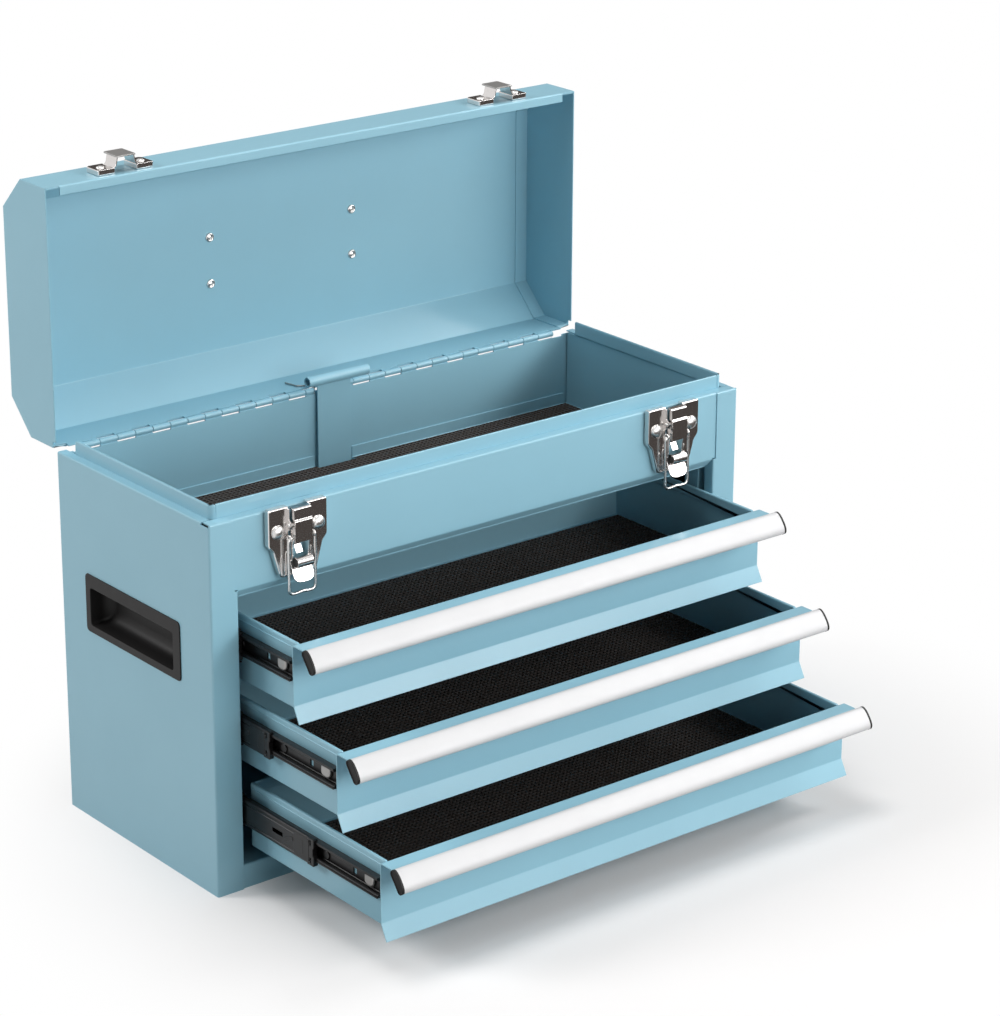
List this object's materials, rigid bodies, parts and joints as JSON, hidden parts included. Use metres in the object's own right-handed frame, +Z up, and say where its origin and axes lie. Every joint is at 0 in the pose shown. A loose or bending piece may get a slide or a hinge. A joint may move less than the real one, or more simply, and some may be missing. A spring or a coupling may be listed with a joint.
{
  "type": "portable tool box with drawers",
  "caption": "Folded steel tool box with a lift-up lid over a tray, drawers on slides, hooked draw latches and a swinging carry handle, shown open.",
  "frame": {"origin": "centre of the underside of the case, on the surface it stands on", "axes": "+Z up, the drawers pull out towards -Y, +X to the right seen from the front"},
  "size_m": [0.522, 0.4935, 0.5225],
  "materials": {
    "blue_paint": "satin",
    "slide_black": "satin",
    "chrome": "polished",
    "bright_steel": "polished",
    "pin_steel": "satin",
    "pull_metal": "satin",
    "black_plastic": "matte",
    "liner_mat": "matte"
  },
  "bodies": {
    "case": {"side_panel_left": "blue_paint", "side_panel_right": "blue_paint", "back_panel": "blue_paint", "bottom_panel": "blue_paint", "front_fascia": "blue_paint", "bottom_rail": "blue_paint", "tray_floor": "blue_paint", "tray_wall_front": "blue_paint", "tray_wall_left": "blue_paint", "tray_wall_right": "blue_paint", "tray_liner": "liner_mat", "hinge_leaf_case": "blue_paint", "slide_support_left": "blue_paint", "slide_support_right": "blue_paint", "slide_outer_1": "slide_black", "slide_outer_2": "slide_black", "slide_outer_3": "slide_black", "pocket_handle_left": "black_plastic", "pocket_handle_right": "black_plastic", "latch_bases": "chrome", "latch_rivets": "bright_steel", "lever_pins": "bright_steel"},
    "lid": {"lid_shell": "blue_paint", "lid_end_left": "blue_paint", "lid_end_right": "blue_paint", "hinge_leaf_lid": "blue_paint", "hinge_pins": "pin_steel", "lid_catches": "chrome", "catch_rivets": "bright_steel", "handle_brackets": "chrome", "handle_rivets": "bright_steel"},
    "handle": {"handle_grip": "black_plastic", "handle_pins": "pin_steel"},
    "drawer_1": {"drawer_pan_1": "blue_paint", "drawer_front_1": "blue_paint", "drawer_pull_1": "pull_metal", "pull_caps_1": "black_plastic", "drawer_liner_1": "liner_mat", "slide_inner_1": "slide_black"},
    "drawer_2": {"drawer_pan_2": "blue_paint", "drawer_front_2": "blue_paint", "drawer_pull_2": "pull_metal", "pull_caps_2": "black_plastic", "drawer_liner_2": "liner_mat", "slide_inner_2": "slide_black"},
    "drawer_3": {"drawer_pan_3": "blue_paint", "drawer_front_3": "blue_paint", "drawer_pull_3": "pull_metal", "pull_caps_3": "black_plastic", "drawer_liner_3": "liner_mat", "slide_inner_3": "slide_black"},
    "middle_1": {"slide_middle_1": "slide_black"},
    "middle_2": {"slide_middle_2": "slide_black"},
    "middle_3": {"slide_middle_3": "slide_black"},
    "lever_left": {"latch_lever_left": "chrome"},
    "bail_left": {"latch_bail_left": "bright_steel"},
    "lever_right": {"latch_lever_right": "chrome"},
    "bail_right": {"latch_bail_right": "bright_steel"},
    "lock": {"lock_plate": "blue_paint"}
  },
  "joints": [
    {"name": "lid_hinge", "type": "hinge", "parent": "case", "child": "lid", "pos_m": [0, 0.1055, 0.2995], "axis": [1, 0, 0], "range_deg": [0, 90]},
    {"name": "handle_swing", "type": "hinge", "parent": "lid", "child": "handle", "pos_m": [0, 0.183, 0.405], "axis": [1, 0, 0], "range_deg": [-1, 181]},
    {"name": "drawer_1_slide", "type": "slide", "parent": "case", "child": "drawer_1", "axis": [0, 1, 0], "range_m": [-0.1047, 0.0788]},
    {"name": "middle_1_slide", "type": "slide", "parent": "case", "child": "middle_1", "axis": [0, 1, 0], "range_m": [-0.05235, 0.0394]},
    {"name": "drawer_2_slide", "type": "slide", "parent": "case", "child": "drawer_2", "axis": [0, 1, 0], "range_m": [-0.052, 0.1315]},
    {"name": "middle_2_slide", "type": "slide", "parent": "case", "child": "middle_2", "axis": [0, 1, 0], "range_m": [-0.026, 0.06575]},
    {"name": "drawer_3_slide", "type": "slide", "parent": "case", "child": "drawer_3", "axis": [0, 1, 0], "range_m": [0, 0.1835]},
    {"name": "middle_3_slide", "type": "slide", "parent": "case", "child": "middle_3", "axis": [0, 1, 0], "range_m": [0, 0.09175]},
    {"name": "lever_left_pivot", "type": "hinge", "parent": "case", "child": "lever_left", "pos_m": [-0.1855, -0.1118, 0.288], "axis": [1, 0, 0], "range_deg": [-35, 0]},
    {"name": "bail_left_pivot", "type": "hinge", "parent": "lever_left", "child": "bail_left", "pos_m": [-0.1855, -0.1136, 0.278], "axis": [-1, 0, 0], "range_deg": [0, 180]},
    {"name": "lever_right_pivot", "type": "hinge", "parent": "case", "child": "lever_right", "pos_m": [0.1855, -0.1118, 0.288], "axis": [1, 0, 0], "range_deg": [-35, 0]},
    {"name": "bail_right_pivot", "type": "hinge", "parent": "lever_right", "child": "bail_right", "pos_m": [0.1855, -0.1136, 0.278], "axis": [-1, 0, 0], "range_deg": [0, 180]},
    {"name": "lock_slide", "type": "slide", "parent": "case", "child": "lock", "axis": [0, 0, -1], "range_m": [0, 0.008]}
  ],
  "couplings": [
    {"joint": "middle_1_slide", "follows": "drawer_1_slide", "ratio": 0.5},
    {"joint": "middle_2_slide", "follows": "drawer_2_slide", "ratio": 0.5},
    {"joint": "middle_3_slide", "follows": "drawer_3_slide", "ratio": 0.5}
  ]
}
